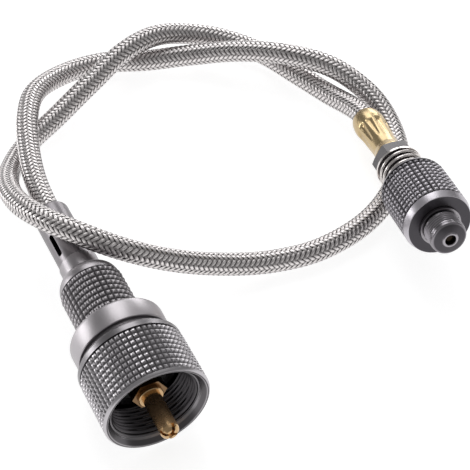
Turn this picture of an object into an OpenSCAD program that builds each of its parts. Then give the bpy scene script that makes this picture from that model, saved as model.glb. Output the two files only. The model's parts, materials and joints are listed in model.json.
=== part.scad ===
// Braided gas hose adapter: a knurled coupling nut with a brass probe at one end,
// a sprung knurled collar round a threaded nipple at the other, and a steel-braided hose between.
// Millimetres. The inlet axis runs along +Y from the mouth of the nut. The outlet leans over the hose.

/* [Coupling nut] */
// Outside diameter over the knurl
nut_od = 31.6; // [28:0.2:36]
// Thickness of the wall outside the thread
nut_wall = 3.1; // [2.4:0.1:3.4]
// Thread pitch, 20 turns to the inch
inlet_thread_pitch = 1.27; // [1:0.01:1.6]
// Length of the threaded wall
inlet_thread_len = 10.6; // [8:0.2:14]
// Plain rim in front of the knurl
nut_rim = 1.1; // [1:0.1:3]
// Plain counterbore in front of the thread
nut_cbore = 2.2; // [1.4:0.1:3]
// Thickness of the rear lip that holds the nut on the stem
nut_lip = 3.7; // [2.5:0.1:6]
// Plain length behind the knurl, bevel included
nut_rear = 2.9; // [2.2:0.1:4]
// Length of the bevel at the rear edge
nut_bevel = 1.2; // [0.6:0.1:2]
// Pitch of the knurl rings
nut_knurl_pitch = 1.85; // [1.4:0.05:2.4]
// Depth of the knurl
nut_knurl_depth = 0.45; // [0.2:0.05:0.6]

/* [Stem] */
// How far the retaining ring stands out from the neck that the nut turns on
retainer_step = 1.8; // [1.2:0.1:2.4]
// Thickness of the retaining ring
retainer_t = 2.2; // [1.6:0.1:3]
// Gap round the retaining ring
retainer_gap = 0.9; // [0.8:0.1:1.4]
// Thickness of the thrust washer
nut_washer_t = 1.4; // [0.8:0.1:2]
// Visible gap between the nut and the band
nut_gap = 2; // [0.6:0.1:4]
// How far the smooth band stands in from the nut's knurl
band_step = 1.6; // [0.5:0.1:2]
// Length of the smooth band
band_len = 7.5; // [5:0.5:12]
// Radius of the rounded edge behind the band
band_round = 1.6; // [0.4:0.1:3]
// Diameter of the grip over its knurl
grip_d = 19.2; // [18:0.2:21]
// Length of the knurled grip
grip_len = 17.6; // [10:0.2:26]
// Pitch of the grip's knurl rings
grip_knurl_pitch = 1.9; // [1.4:0.05:2.4]
// Depth of the grip's knurl
grip_knurl_depth = 0.4; // [0.2:0.05:0.6]
// Length of the rounded shoulder
shoulder_len = 4.6; // [3:0.2:8]
// How far the stem's smooth tail stands out from the sleeve
tail_step = 0.4; // [0.1:0.1:1]
// Length of the smooth tail of the stem
tail_len = 5.4; // [3:0.2:10]

/* [Probe] */
// Diameter of the probe
probe_d = 5.4; // [4.6:0.1:6.4]
// How far the probe stands out of the mouth
probe_out = 9; // [0:0.5:12]
// Diameter of the bore
probe_bore = 1.8; // [1:0.1:2.4]
// Diameter of the round flange
probe_flange_d = 7.4; // [7:0.1:8.6]
// Thickness of the round flange
probe_flange_t = 1.2; // [0.6:0.1:2]
// Size of the hexagon across its flats
probe_hex_af = 9; // [8.8:0.1:10]
// Height of the hexagon
probe_hex_h = 6.3; // [3:0.1:7]
// Diameter of the threaded root
probe_root_d = 8; // [6:0.1:8.4]
// Length of the threaded root
probe_root_len = 6; // [4:0.5:8]
// Width of the crossed slots in the tip
probe_slot_w = 0.9; // [0.5:0.1:1.4]
// Depth of the crossed slots in the tip
probe_slot_depth = 1.8; // [0.8:0.1:3]
// Thickness of the seat gasket
gasket_t = 1; // [0.6:0.1:2]
// Diameter of the seat gasket
gasket_d = 16; // [13:0.5:20]

/* [Tail sleeve] */
// Thickness of the wall
sleeve_wall = 0.9; // [0.7:0.1:1.4]
// Room round the hose inside the sleeve
sleeve_room = 1.1; // [0.9:0.1:1.3]
// Length
sleeve_len = 22.6; // [20:0.2:30]
// Thickness of the rear end wall
sleeve_end = 1.4; // [1:0.1:2.5]
// Width of the round-ended slot
slot_w = 1.6; // [1:0.1:2.4]
// Length of the round-ended slot
slot_len = 8.6; // [4:0.2:9.6]
// Angle of the slot round the sleeve, from straight up
slot_angle = 50; // [0:1:90]

/* [Hose] */
// Outside diameter over the braid
hose_od = 7; // [6.4:0.1:7.2]
// Thickness of the braid
braid_t = 0.7; // [0.4:0.05:0.9]
// Thickness of the inner tube's wall
liner_t = 0.9; // [0.5:0.05:1]
// Length of hose held in the inlet ferrule
hose_in_inlet = 8; // [5:0.5:9]
// Length of hose held in the outlet ferrule
hose_in_outlet = 14.4; // [10:0.2:15]
// Gap round the hose tails' barbs
barb_gap = 0.04; // [0.02:0.01:0.1]
// Diameter of the hose tails' necks
tail_neck_d = 4.4; // [4:0.1:5]

/* [Ferrules] */
// Thickness of the outlet ferrule's wall outside the hose
outlet_wall = 1.6; // [1.4:0.1:2.4]
// How far the outlet ferrule steps in at its waist
waist_step = 0.8; // [0.6:0.1:1.4]
// Length of the outlet ferrule's waist
ferrule_waist_len = 6.2; // [5:0.2:8]
// Length of the fluted part
ferrule_crimp_len = 10.4; // [9:0.2:14]
// Length of the rounded rear part
ferrule_dome_len = 6; // [5:0.2:9]
// Number of flutes
flutes = 10; // [6:1:12]
// Radius of a flute
flute_r = 1.4; // [0.8:0.1:1.6]
// Depth of a flute
flute_depth = 0.5; // [0.2:0.05:0.6]

/* [Outlet nipple] */
// Thread major diameter, a 7/16 inch by 28 thread
nipple_thread_d = 11.1; // [10.9:0.02:11.4]
// Thread pitch, 28 turns to the inch
nipple_thread_pitch = 0.907; // [0.7:0.001:1.2]
// How far the nipple stands out of the collar
nipple_out = 8; // [7:0.1:12]
// Plain length in front of the thread
nipple_plain = 2.1; // [1.6:0.1:4]
// How far the plain length stands in from the thread
nipple_step = 0.2; // [0.1:0.05:0.5]
// Radius of the rounded tip
nipple_round = 0.9; // [0.4:0.1:1.4]
// Diameter of the hole in the tip
nipple_hole = 3.3; // [2.8:0.1:3.6]
// Width of the raised lip round the hole
nipple_lip_w = 0.7; // [0.4:0.1:1.2]
// Height of the raised lip
nipple_lip_h = 0.35; // [0.2:0.05:0.6]
// How far the sliding part under the collar stands out from the thread
slide_step = 0.25; // [0.15:0.05:0.4]
// How far the barrel inside the spring stands in from the sliding part
barrel_step = 0.6; // [0.3:0.1:0.8]
// Thickness of the barrel's wall round the swivel spigot
barrel_wall = 1; // [0.8:0.1:1.4]
// Thickness of the wall round the valve chamber
chamber_wall = 2.85; // [2.65:0.05:3]

/* [Outlet collar] */
// Outside diameter over the knurl
collar_od = 20.9; // [20:0.1:24]
// Length
collar_len = 22.5; // [18:0.5:28]
// Length of the front chamfer
collar_chamfer = 2.3; // [1:0.1:3]
// Depth of the front chamfer
collar_chamfer_r = 0.65; // [0.3:0.05:1]
// Length of the rounded rear
collar_round = 3.4; // [2:0.1:5]
// Plain length between the knurl and the rounded rear
collar_plain = 0.2; // [0.2:0.1:3]
// Width of the flat rear rim outside the spring
rear_rim = 1.4; // [1:0.1:1.8]
// Thickness of the front wall
collar_wall = 4; // [3:0.1:6]
// Pitch of the knurl rings
collar_knurl_pitch = 1.8; // [1.1:0.05:2]
// Depth of the knurl
collar_knurl_depth = 0.35; // [0.2:0.05:0.5]
// How far the collar slides back
collar_travel = 3; // [1:0.5:4]
// Thickness of the stop ring in front of the collar
stop_t = 0.8; // [0.5:0.05:1.2]
// How far the stop ring stands out from the sliding part
stop_step = 0.5; // [0.4:0.05:1.2]

/* [Collar spring] */
// Gap inside the curls, round the sliding part
spring_gap = 0.3; // [0.3:0.05:0.5]
// Wire diameter
wire_d = 1.1; // [0.8:0.05:1.15]
// Length of spring that shows behind the collar
spring_show = 9.1; // [7:0.1:14]
// Number of curls
spring_curls = 11; // [7:1:13]
// Thickness of the washer that carries the spring
spring_washer_t = 0.8; // [0.5:0.05:1.2]

/* [Hex adapter] */
// Size across the flats
hex_af = 12.2; // [11.6:0.1:13]
// Length of the hexagon
hex_len = 5; // [4:0.2:9]
// Bore for gas
gas_bore = 3; // [2:0.1:3.2]

/* [Valve] */
// Gap round the plunger's head
plunger_gap = 0.4; // [0.3:0.05:0.7]
// Travel of the plunger
plunger_travel = 1.5; // [0.5:0.1:1.8]
// Thickness of the rubber seat
seat_t = 0.95; // [0.6:0.05:1.2]
// Length of the valve spring
valve_spring_len = 6; // [4:0.5:6.5]
// Curls of the valve spring
valve_curls = 5; // [3:1:6]
// Thickness of the threaded retainer
valve_retainer_t = 2.4; // [1.6:0.1:3]

/* [Clearances] */
// Radial running clearance of the turning and sliding fits
run_gap = 0.05; // [0.02:0.01:0.09]
// Gap between pieces that are fixed together
fit_gap = 0.04; // [0.02:0.01:0.08]

/* [Hidden] */
$fn = 96;

steel_grey = [0.42, 0.42, 0.44];
dark_grey = [0.27, 0.27, 0.29];
bright = [0.78, 0.78, 0.8];
brass = [0.8, 0.66, 0.36];
rubber = [0.06, 0.06, 0.06];
braid_col = [0.68, 0.65, 0.66];

// Diameters that follow from the nut, the hose and the nipple's thread
inlet_thread_d = nut_od - 2 * nut_wall;
retainer_d = inlet_thread_d - 2 * retainer_gap;
neck_d = retainer_d - 2 * retainer_step;
band_d = nut_od - 2 * band_step;
sleeve_bore = hose_od + 2 * sleeve_room;
sleeve_d = sleeve_bore + 2 * sleeve_wall;
tail_d = sleeve_d + 2 * tail_step;
outlet_ferrule_d = hose_od + 2 * outlet_wall;
dome_in = outlet_wall - fit_gap - 0.5;
ferrule_waist_d = outlet_ferrule_d - 2 * waist_step;
slide_d = nipple_thread_d + 2 * slide_step;
barrel_d = slide_d - 2 * barrel_step;
spigot_d = barrel_d - 2 * barrel_wall;
chamber_d = nipple_thread_d - 2 * chamber_wall;
plunger_d = chamber_d - 2 * plunger_gap;
nipple_lip_d = nipple_hole + 2 * nipple_lip_w;
stop_d = slide_d + 2 * stop_step;
spring_d = slide_d + 2 * spring_gap + 2 * wire_d;
collar_rear_d = spring_d + 2 * rear_rim;
rear_step = 0.2;

// Stations along the inlet axis, from the mouth, where the nut takes a 1 inch by 20 thread
thread_r = inlet_thread_d / 2 + 0.1;
thread_depth = 0.54 * inlet_thread_pitch;
z_thread0 = nut_cbore;
z_thread1 = z_thread0 + inlet_thread_len;
z_seal = z_thread1 + 0.2;
z_washer = z_seal + retainer_t + fit_gap;
z_lip = z_washer + nut_washer_t + fit_gap;
nut_len = z_lip + nut_lip;
z_band = nut_len + nut_gap;
z_step = z_band - 0.75 * nut_gap;
z_grip = z_band + band_len;
z_shoulder = z_grip + grip_len;
z_tail = z_shoulder + shoulder_len;
z_sleeve = z_tail + tail_len;
z_end = z_sleeve + sleeve_len;
z_ferrule1 = z_end - sleeve_end - fit_gap;
z_hose = z_end - sleeve_end - hose_in_inlet;
ferrule_wall = 0.7;
z_ferrule0 = z_hose - fit_gap - ferrule_wall;
retainer_land = neck_d / 2 - 1;
z_root = z_seal + probe_root_len + 0.5;
tail_seat_len = 7;
z_tail_seat = z_sleeve + 1.6 - tail_seat_len;
tail_seat_r = 3;
z_hex0 = z_seal - gasket_t - fit_gap - probe_hex_h;
z_flange0 = z_hex0 - probe_flange_t;

// Stations along the outlet axis, from the collar's face backwards
z_tip = -nipple_out;
z_chamber = z_tip + 1.3;
slide_len = collar_wall + collar_travel + 0.6;
z_bore = 9.6;
z_barrel_end = collar_len + spring_show - 0.1;
z_washer2 = collar_len + spring_show;
z_hexo = z_washer2 + spring_washer_t + fit_gap;
z_hexe = z_hexo + hex_len;
z_waist = z_hexe + fit_gap;
z_crimp = z_waist + ferrule_waist_len + 1.4;
z_dome = z_crimp + ferrule_crimp_len;
z_ferrule_end = z_dome + ferrule_dome_len;
z_hose2 = z_ferrule_end - hose_in_outlet;
spring_r = spring_d / 2 - wire_d / 2;
z_spring0 = collar_wall + fit_gap;
z_spring1 = z_washer2 - fit_gap;
z_groove = 19;
z_oring = 13;
z_seat = z_chamber + fit_gap;
z_head = z_seat + seat_t + fit_gap;
head_t = 1.2;
z_vspring = z_head + head_t + fit_gap;
z_vret = z_vspring + valve_spring_len + fit_gap;

// Where the outlet lies, and how it leans
outlet_end = [106.9, 80.6, 9.2];
outlet_pitch = 12.5;
outlet_yaw = -7.8;
out_dir = [-sin(outlet_yaw) * cos(outlet_pitch), cos(outlet_yaw) * cos(outlet_pitch), -sin(outlet_pitch)];
outlet_pos = outlet_end - out_dir * z_ferrule_end;
function out_at(t) = outlet_pos + out_dir * t;
inlet_end = 80;
axis_h = nut_od / 2;
y_mouth = inlet_end - z_end;

// The origin is at the foot of the middle of the two fittings
function reach(k, t, r) = out_at(t)[k] + r * sqrt(1 - out_dir[k] * out_dir[k]);
zk0 = collar_chamfer + 0.8;
zk1 = collar_len - collar_round - collar_plain;
zk_top = zk1 - 0.32 * (zk1 - zk0) / ring_count(zk0, zk1, collar_knurl_pitch);
dome = quarter(outlet_ferrule_d / 2, z_dome + 2, dome_in, ferrule_dome_len - 2);
x_hi = max(reach(0, zk_top, collar_od / 2), max([for (p = dome) reach(0, p[1], p[0])]));
y_hi = max(inlet_end, reach(1, z_ferrule_end, hose_od / 2 + fit_gap + 0.5));
x_mid = (x_hi - nut_od / 2) / 2;
y_mid = (y_hi + y_mouth - probe_out) / 2;

module place() translate([-x_mid, -y_mid, 0]) children();
module inlet() place() translate([0, y_mouth, axis_h]) rotate([-90, 0, 0]) children();
module outlet() place() translate(outlet_pos) rotate([-90 - outlet_pitch, 0, outlet_yaw]) children();
module tube(z0, z1, r1, r0) translate([0, 0, z0]) difference() {
    cylinder(h = z1 - z0, r = r1);
    translate([0, 0, -1]) cylinder(h = z1 - z0 + 2, r = r0);
}
module hex(z0, h, af) translate([0, 0, z0]) cylinder(h = h, r = af / sqrt(3), $fn = 6);

// Rings of a knurl between two stations, as profile points
function ring_count(z0, z1, p) = max(1, round((z1 - z0) / p));
function knurl(r, d, z0, z1, p) = let (n = ring_count(z0, z1, p), q = (z1 - z0) / n)
    [for (i = [0:n - 1]) each [[r - d, z0 + i * q], [r, z0 + (i + 0.32) * q], [r, z0 + (i + 0.68) * q]],
     [r - d, z1]];
// Rings of a thread between two stations, cut a depth d into a wall of radius r
function thread(r, d, z0, z1, p) = let (n = floor((z1 - z0) / p), q = (z1 - z0) / n)
    [for (i = [0:n - 1]) each [[r, z0 + i * q], [r, z0 + (i + 0.3) * q],
     [r - d, z0 + (i + 0.6) * q], [r - d, z0 + (i + 0.7) * q]], [r, z1]];
function back(v) = [for (i = [len(v) - 1:-1:0]) v[i]];
// Quarter round from a wall of radius r at z to a face dz further on and dr further in
function quarter(r, z, dr, dz) = [for (i = [0:6]) [r - dr + dr * cos(i * 15), z + dz * sin(i * 15)]];

module coupling_nut() color(steel_grey) inlet() {
    r = nut_od / 2;
    mouth = nut_od / 2 - 0.55 * nut_wall;
    z_knurl = nut_len - nut_rear;
    rotate_extrude() polygon(concat(
        [[mouth, 0], [r - 1.1, 0], [r - 0.35, 0.35], [r, 0.9]],
        knurl(r, nut_knurl_depth, nut_rim, z_knurl, nut_knurl_pitch),
        [[r - 0.1, z_knurl + 0.1], [r - 0.1, nut_len - nut_bevel], [r - 1, nut_len],
         [neck_d / 2 + run_gap, nut_len], [neck_d / 2 + run_gap, z_lip],
         [thread_r, z_lip]],
        back(thread(thread_r, thread_depth, z_thread0, z_thread1, inlet_thread_pitch)),
        [[thread_r + 0.4, z_thread0], [thread_r + 0.4, 0.8 * z_thread0]]));
}

module nut_retainer() color(steel_grey) inlet()
    tube(z_seal, z_seal + retainer_t, retainer_d / 2, retainer_land + fit_gap);

module nut_washer() color([0.85, 0.85, 0.8]) inlet()
    tube(z_washer, z_washer + nut_washer_t, retainer_d / 2, neck_d / 2 + fit_gap);

module stem_body() color(steel_grey) inlet() {
    rb = band_d / 2;
    rg = grip_d / 2;
    rt = tail_d / 2;
    rs = sleeve_bore / 2 - fit_gap;
    difference() {
        rotate_extrude() polygon(concat(
            [[0, z_seal], [retainer_land, z_seal], [retainer_land, z_seal + retainer_t],
             [neck_d / 2, z_seal + retainer_t], [neck_d / 2, z_step],
             [rb - 1.1, z_step], [rb - 1.1, z_band],
             [rb - 0.4, z_band], [rb, z_band + 0.4]],
            quarter(rb, z_grip - band_round, band_round, band_round),
            [[rg - grip_knurl_depth, z_grip]],
            knurl(rg, grip_knurl_depth, z_grip + 0.4, z_shoulder, grip_knurl_pitch),
            quarter(rg - 0.3, z_shoulder, rg - 0.3 - rt, shoulder_len),
            [[rt, z_sleeve], [rs, z_sleeve], [rs, z_sleeve + 1.6], [0, z_sleeve + 1.6]]));
        translate([0, 0, z_seal - 1]) cylinder(h = z_root - z_seal + 1, r = probe_root_d / 2 + fit_gap);
        translate([0, 0, z_root - 1]) cylinder(h = z_sleeve + 4 - z_root, r = gas_bore / 2);
        translate([0, 0, z_tail_seat]) cylinder(h = tail_seat_len + 1, r = tail_seat_r + fit_gap);
    }
}

module seat_gasket() color(rubber) inlet()
    tube(z_seal - gasket_t - fit_gap / 2, z_seal - fit_gap / 2, gasket_d / 2, probe_root_d / 2 + fit_gap);

module inlet_probe() color(brass) inlet() {
    r = probe_d / 2;
    difference() {
        union() {
            rotate_extrude() polygon([[0, -probe_out], [r - 0.9, -probe_out], [r - 0.2, -probe_out + 0.7],
                [r, -probe_out + 1.4], [r, z_flange0], [probe_flange_d / 2 - 0.2, z_flange0],
                [probe_flange_d / 2, z_flange0 + 0.2], [probe_flange_d / 2, z_hex0], [0, z_hex0]]);
            hex(z_hex0, probe_hex_h, probe_hex_af);
            translate([0, 0, z_hex0]) cylinder(h = z_seal + probe_root_len - z_hex0, r = probe_root_d / 2);
        }
        translate([0, 0, -probe_out - 1])
            cylinder(h = probe_out + z_seal + probe_root_len + 2, r = probe_bore / 2);
        for (a = [0, 90]) rotate([0, 0, a + 20])
            translate([-r, -probe_slot_w / 2, -probe_out - 1])
                cube([2 * r, probe_slot_w, probe_slot_depth + 1]);
    }
}

// A barbed tail from z0, seated to z1, necked to z2, then inside the hose to z3
module hose_tail(z0, z1, z2, z3, seat_r) {
    b = liner_ir * cos(180 / hose_sides) - barb_gap;
    n = 4;
    q = (z3 - z2) / n;
    bore_r = gas_bore / 2 - 0.6;
    neck_r = tail_neck_d / 2;
    rotate_extrude() polygon(concat(
        [[bore_r, z0], [seat_r, z0], [seat_r, z1], [neck_r, z1], [neck_r, z2]],
        [for (i = [0:n - 1]) each [[b, z2 + i * q + 0.02], [b - 0.3, z2 + (i + 1) * q]]],
        [[bore_r, z3]]));
}

module inlet_hose_tail() color(dark_grey) inlet()
    hose_tail(z_tail_seat + fit_gap, z_sleeve + 1.6, z_hose - fit_gap, z_ferrule1 - 1, tail_seat_r);

module inlet_ferrule() color(brass) inlet() difference() {
    tube(z_ferrule0, z_ferrule1, sleeve_bore / 2 - 0.1, tail_neck_d / 2 + fit_gap);
    translate([0, 0, z_hose - fit_gap]) cylinder(h = hose_in_inlet + 1, r = hose_od / 2 + fit_gap);
}

module tail_sleeve() color(steel_grey) inlet() {
    ro = sleeve_d / 2;
    rh = hose_od / 2 + 0.1;
    s0 = z_sleeve + 2.4 + slot_w / 2;
    s1 = s0 + slot_len - slot_w;
    difference() {
        rotate_extrude() polygon(concat(
            [[sleeve_bore / 2, z_sleeve + fit_gap], [ro - 0.2, z_sleeve + fit_gap], [ro, z_sleeve + 0.3]],
            quarter(ro, z_end - 1.6, ro - rh - 0.3, 1.6),
            [[rh, z_end], [rh, z_end - sleeve_end], [sleeve_bore / 2, z_end - sleeve_end]]));
        rotate([0, 0, 180 - slot_angle]) {
            for (z = [s0, s1]) translate([0, 0, z]) rotate([-90, 0, 0])
                cylinder(h = ro + 1, r = slot_w / 2);
            translate([-slot_w / 2, 0, s0]) cube([slot_w, ro + 1, s1 - s0]);
        }
    }
}

// The hose's route between the fittings, lying on the surface and passing over itself
lift = axis_h - 15.5;
hose_free = [[1, 94, 15 + lift], [4, 108, 14], [9, 123, 12.8], [16.5, 136, 10], [28.5, 144, 6.2],
    [43, 146, 4], [57.5, 141, 3.7], [71, 134.7, 6], [84, 126, 9.8], [96.5, 115.6, 12],
    [107.6, 104.9, 10.9], [114.7, 92, 7], [115.5, 79, 4.1], [111.3, 66, 3.65], [102, 54, 3.65],
    [88, 45.5, 3.7], [71, 42, 3.7], [55, 43.5, 4.4], [40, 46.3, 7.8], [26, 49, 13.45 + lift / 2],
    [13, 52.8, 20.4 + lift], [2.5, 60, 24.9 + lift], [-5, 70.3, 25 + lift], [-8.4, 82.7, 21.35 + lift / 2],
    [-7.1, 96.6, 15], [-1.4, 109.6, 8.4], [7.5, 120.5, 4.6], [20.5, 128, 4.8], [35, 134.5, 8],
    [49, 140, 11.5], [62, 143.4, 11], [75, 142.2, 7.6], [86, 136.3, 5], [94, 126.5, 3.8],
    [99.5, 113.5, 3.7], [104, 100, 4.7]];
route = concat([[0, y_mouth + z_hose, axis_h], [0, inlet_end, axis_h]], hose_free,
    [out_at(z_ferrule_end + 3.5), out_at(z_hose2)]);
hose_rings = 78;
hose_sides = 10;
// A smooth line through the route, one unit of u to each point
function clampi(i) = max(0, min(len(route) - 1, i));
function at(u) = let (i = min(floor(u), len(route) - 2), t = u - i,
    p1 = route[i], p2 = route[i + 1],
    p0 = i > 0 ? route[i - 1] : 2 * p1 - p2,
    p3 = i < len(route) - 2 ? route[i + 2] : 2 * p2 - p1)
    ((2 * p1) + (p2 - p0) * t + (2 * p0 - 5 * p1 + 4 * p2 - p3) * t * t
     + (3 * p1 - p0 - 3 * p2 + p3) * t * t * t) / 2;
u_end = len(route) - 1;
// The two ends stay straight in their ferrules, so the rings there lie on the route's own ends
function ring_u(i) = i == 0 ? 0 : i == 1 ? 1 : i == hose_rings - 2 ? u_end - 1 : i == hose_rings - 1 ? u_end
    : 1 + (i - 1) * (u_end - 2) / (hose_rings - 3);
function ring_p(i) = i == 0 ? route[0] : i == hose_rings - 1 ? route[len(route) - 1] : at(ring_u(i));
function unit(v) = v / norm(v);
function ring_t(i) = i <= 1 ? [0, 1, 0] : i >= hose_rings - 2 ? -out_dir
    : unit(at(ring_u(i) + 0.05) - at(ring_u(i) - 0.05));
function ring(i, r) = let (t = ring_t(i), s = unit(cross(t, [0, 0, 1])), v = cross(s, t), p = ring_p(i))
    [for (k = [0:hose_sides - 1]) p + r * (cos(k * 360 / hose_sides) * s + sin(k * 360 / hose_sides) * v)];
module hose_tube(ro, ri) {
    m = hose_sides;
    n = hose_rings;
    pts = concat([for (i = [0:n - 1]) each ring(i, ro)], [for (i = [0:n - 1]) each ring(i, ri)]);
    outer = [for (i = [0:n - 2]) for (k = [0:m - 1]) let (a = i * m + k, b = i * m + (k + 1) % m)
        each [[a, b, b + m], [a, b + m, a + m]]];
    q = n * m;
    inner = [for (i = [0:n - 2]) for (k = [0:m - 1]) let (a = q + i * m + k, b = q + i * m + (k + 1) % m)
        each [[a, b + m, b], [a, a + m, b + m]]];
    e = (n - 1) * m;
    ends = [for (k = [0:m - 1]) let (j = (k + 1) % m)
        each [[k, q + k, q + j], [k, q + j, j], [e + k, e + j, q + e + j], [e + k, q + e + j, q + e + k]]];
    polyhedron(points = pts, faces = concat(outer, inner, ends));
}
braid_ir = hose_od / 2 - braid_t;
liner_or = (braid_ir - fit_gap) * cos(180 / hose_sides);
liner_ir = liner_or - liner_t;

module hose_braid() color(braid_col) place() hose_tube(hose_od / 2, braid_ir);

module hose_liner() color(rubber) place() hose_tube(liner_or, liner_ir);

module outlet_ferrule() color(brass) outlet() {
    r = outlet_ferrule_d / 2;
    rw = ferrule_waist_d / 2;
    rh = hose_od / 2 + fit_gap;
    rn = tail_neck_d / 2 + fit_gap;
    difference() {
        rotate_extrude() polygon(concat(
            [[rn, z_waist], [r, z_waist], [r, z_waist + 1.7], [rw, z_waist + 4.3], [rw, z_crimp - 0.4],
             [r - 0.65, z_crimp + ferrule_crimp_len * 0.6], [r - 0.25, z_dome], [r, z_dome + 1.4]],
            dome,
            [[rh, z_ferrule_end], [rh, z_hose2 - fit_gap], [rn, z_hose2 - fit_gap]]));
        for (i = [0:flutes - 1]) rotate([0, 0, i * 360 / flutes])
            translate([rw + 0.5 - flute_depth + flute_r, 0, z_crimp - 0.6])
                cylinder(h = ferrule_crimp_len + 0.6, r = flute_r, $fn = 32);
    }
}

module outlet_hose_tail() color(dark_grey) outlet()
    hose_tail(z_hexo + 1 + fit_gap, z_hexe, z_hose2 - fit_gap, z_ferrule_end - 2, tail_neck_d / 2 + 0.35);

module hex_adapter() color(dark_grey) outlet() {
    rs = spigot_d / 2 - run_gap;
    difference() {
        union() {
            translate([0, 0, z_bore + 0.6]) cylinder(h = z_hexo - z_bore, r = rs);
            intersection() {
                hex(z_hexo, hex_len, hex_af);
                rotate_extrude() polygon([[0, z_hexo], [hex_af / 2 - 0.2, z_hexo],
                    [hex_af / sqrt(3), z_hexo + 0.6], [hex_af / sqrt(3), z_hexe - 0.6],
                    [hex_af / 2 - 0.2, z_hexe], [0, z_hexe]]);
            }
        }
        translate([0, 0, z_bore]) cylinder(h = 40, r = gas_bore / 2);
        translate([0, 0, z_hexo + 1]) cylinder(h = hex_len, r = tail_neck_d / 2 + 0.35 + fit_gap);
        tube(z_groove, z_groove + 1, rs + 1, rs - 0.65);
        tube(z_oring, z_oring + 1.2, rs + 1, rs - 1.06);
    }
}

module swivel_oring() color(rubber) outlet() translate([0, 0, z_oring + 0.6])
    rotate_extrude() translate([spigot_d / 2 - 0.55, 0]) circle(r = 0.53, $fn = 32);

module swivel_ring() color(bright) outlet() difference() {
    tube(z_groove + fit_gap, z_groove + 1 - fit_gap, spigot_d / 2 + 0.35, spigot_d / 2 - 0.6);
    translate([-0.6, 0, z_groove - 1]) cube([1.2, spigot_d, 3]);
}

module spring_washer() color(bright) outlet()
    tube(z_washer2, z_washer2 + spring_washer_t, spring_d / 2 + 0.1, spigot_d / 2 + fit_gap);

// One unbroken wire wound n times between z0 and z1, 6 sides and 12 rings a curl
function coil_p(n, z0, z1, rc, rw, i, k) = let (a = i * 30, g = k * 60,
    z = z0 + rw + (z1 - z0 - 2 * rw) * i / (12 * n))
    [(rc + rw * cos(g)) * cos(a), (rc + rw * cos(g)) * sin(a), z + rw * sin(g)];
module coil(n, z0, z1, rc, rw) {
    rings = 12 * n + 1;
    pts = [for (i = [0:rings - 1]) for (k = [0:5]) coil_p(n, z0, z1, rc, rw, i, k)];
    side = [for (i = [0:rings - 2]) for (k = [0:5]) let (a = i * 6 + k, b = i * 6 + (k + 1) % 6)
        each [[a, a + 6, b + 6], [a, b + 6, b]]];
    e = (rings - 1) * 6;
    ends = [for (k = [1:4]) each [[0, k, k + 1], [e, e + k + 1, e + k]]];
    polyhedron(points = pts, faces = concat(side, ends));
}
// Least gap between neighbouring curls, measured on the wire's own points
function coil_gap(n, z0, z1, rc, rw) = min([for (k = [0:5]) for (g = [0:5])
    norm(coil_p(n, z0, z1, rc, rw, 12, k) - coil_p(n, z0, z1, rc, rw, 0, g))]);
wire_r = 0.25;
valve_coil_r = 1.75;
z_vspring1 = z_vspring + valve_spring_len;
echo(collar_spring_gap = coil_gap(spring_curls, z_spring0, z_spring1, spring_r, wire_d / 2));
echo(valve_spring_gap = coil_gap(valve_curls, z_vspring, z_vspring1, valve_coil_r, wire_r));

module collar_spring() color(bright) outlet()
    coil(spring_curls, z_spring0, z_spring1, spring_r, wire_d / 2);

module valve_spring() color(bright) outlet()
    coil(valve_curls, z_vspring, z_vspring1, valve_coil_r, wire_r);

module outlet_nipple() color(dark_grey) outlet() {
    r = nipple_thread_d / 2;
    rp = r - nipple_step;
    rl = nipple_lip_d / 2;
    rg = slide_d / 2 - 0.5;
    difference() {
        rotate_extrude() polygon(concat(
            [[0, z_tip - nipple_lip_h], [rl - 0.25, z_tip - nipple_lip_h], [rl, z_tip]],
            back(quarter(rp, -z_tip - nipple_round, nipple_round, nipple_round)) * [[1, 0], [0, -1]],
            [[rp, z_tip + nipple_plain - 0.1]],
            thread(r, 0.55 * nipple_thread_pitch, z_tip + nipple_plain, -stop_t - 0.8, nipple_thread_pitch),
            [[rg, -stop_t - 0.6], [rg, -0.1], [slide_d / 2, -0.1], [slide_d / 2, slide_len],
             [barrel_d / 2, slide_len + 0.4], [barrel_d / 2, z_barrel_end], [0, z_barrel_end]]));
        translate([0, 0, z_tip - 1]) cylinder(h = 5, r = nipple_hole / 2);
        translate([0, 0, z_chamber]) cylinder(h = z_bore - z_chamber + 1, r = chamber_d / 2);
        translate([0, 0, z_bore]) cylinder(h = z_barrel_end, r = spigot_d / 2);
        translate([0, 0, z_groove]) cylinder(h = 1, r = spigot_d / 2 + 0.35 + fit_gap);
    }
}

module stop_ring() color(dark_grey) outlet() difference() {
    z = -0.1 - fit_gap;
    r = stop_d / 2;
    rg = slide_d / 2 - 0.5 + fit_gap;
    rotate_extrude() polygon([[rg, z], [r, z], [r, z - stop_t], [r - 0.5, z - stop_t],
        [r - 0.5, z - stop_t / 2], [rg, z - stop_t / 2]]);
    translate([-0.9, 0, -3]) cube([1.8, stop_d, 4]);
}

module outlet_collar() color(dark_grey) outlet() {
    r = collar_od / 2;
    rr = collar_rear_d / 2;
    rh = slide_d / 2 + run_gap;
    cav = spring_d / 2 + 0.3;
    rotate_extrude() polygon(concat(
        [[rh, 0], [r - collar_chamfer_r, 0], [r, collar_chamfer]],
        knurl(r, collar_knurl_depth, zk0, zk1, collar_knurl_pitch),
        [[r - rear_step, zk1 + 0.2]],
        quarter(r - rear_step, collar_len - collar_round, r - rear_step - rr, collar_round),
        [[cav, collar_len], [cav, collar_wall], [rh, collar_wall]]));
}

module valve_seat() color(rubber) outlet()
    tube(z_seat, z_seat + seat_t, chamber_d / 2 - fit_gap, nipple_hole / 2);

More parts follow.
